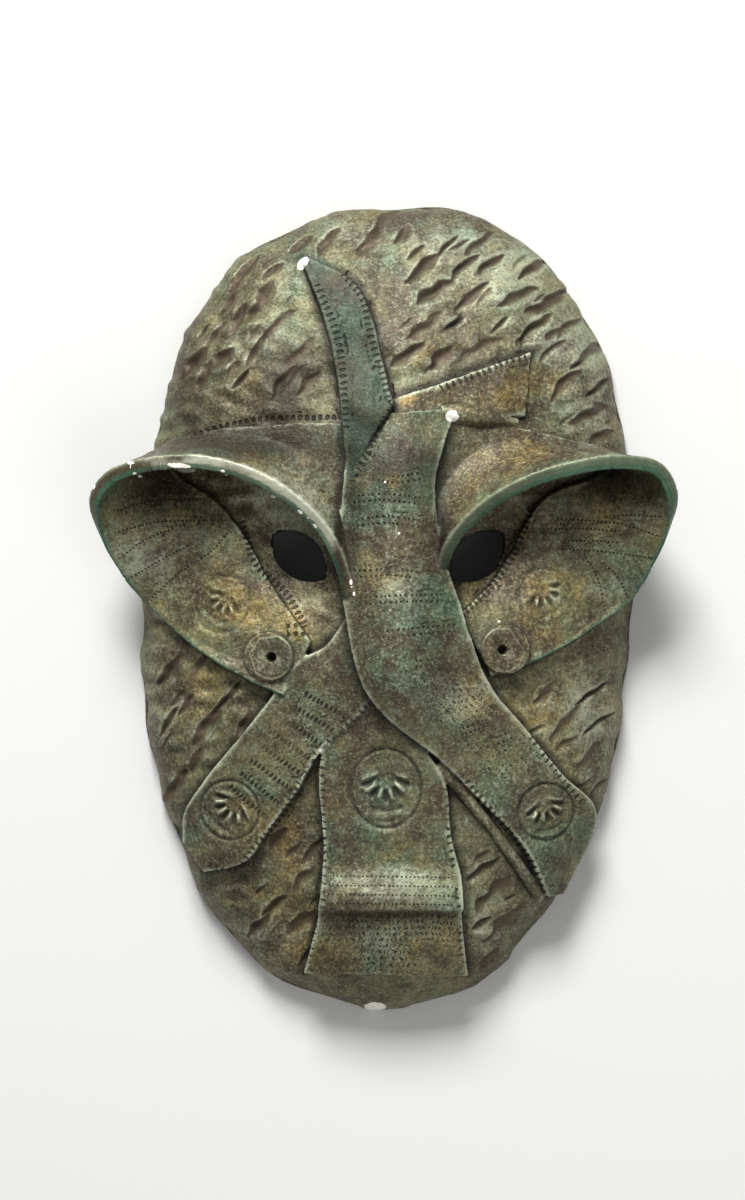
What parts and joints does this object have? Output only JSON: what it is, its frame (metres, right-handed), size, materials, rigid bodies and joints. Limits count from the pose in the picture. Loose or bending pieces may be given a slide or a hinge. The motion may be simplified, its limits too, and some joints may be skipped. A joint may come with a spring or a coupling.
{
  "type": "wall mask",
  "caption": "Hand-built fired clay wall mask: a hollow oval face with flaring hoods over the eye holes, crossing straps and tooled dents, in a verdigris bronze finish.",
  "frame": {"origin": "middle of the overall box, on the plane of the flat back rim", "axes": "+Z out of the face from the flat back rim, +Y to the top of the head, +X to the right as the face is looked at"},
  "size_m": [0.2342, 0.3312, 0.0654],
  "materials": {
    "clay": "matte to satin verdigris bronze paint on fired clay"
  },
  "bodies": {
    "root": {"mask": "clay"}
  },
  "joints": []
}
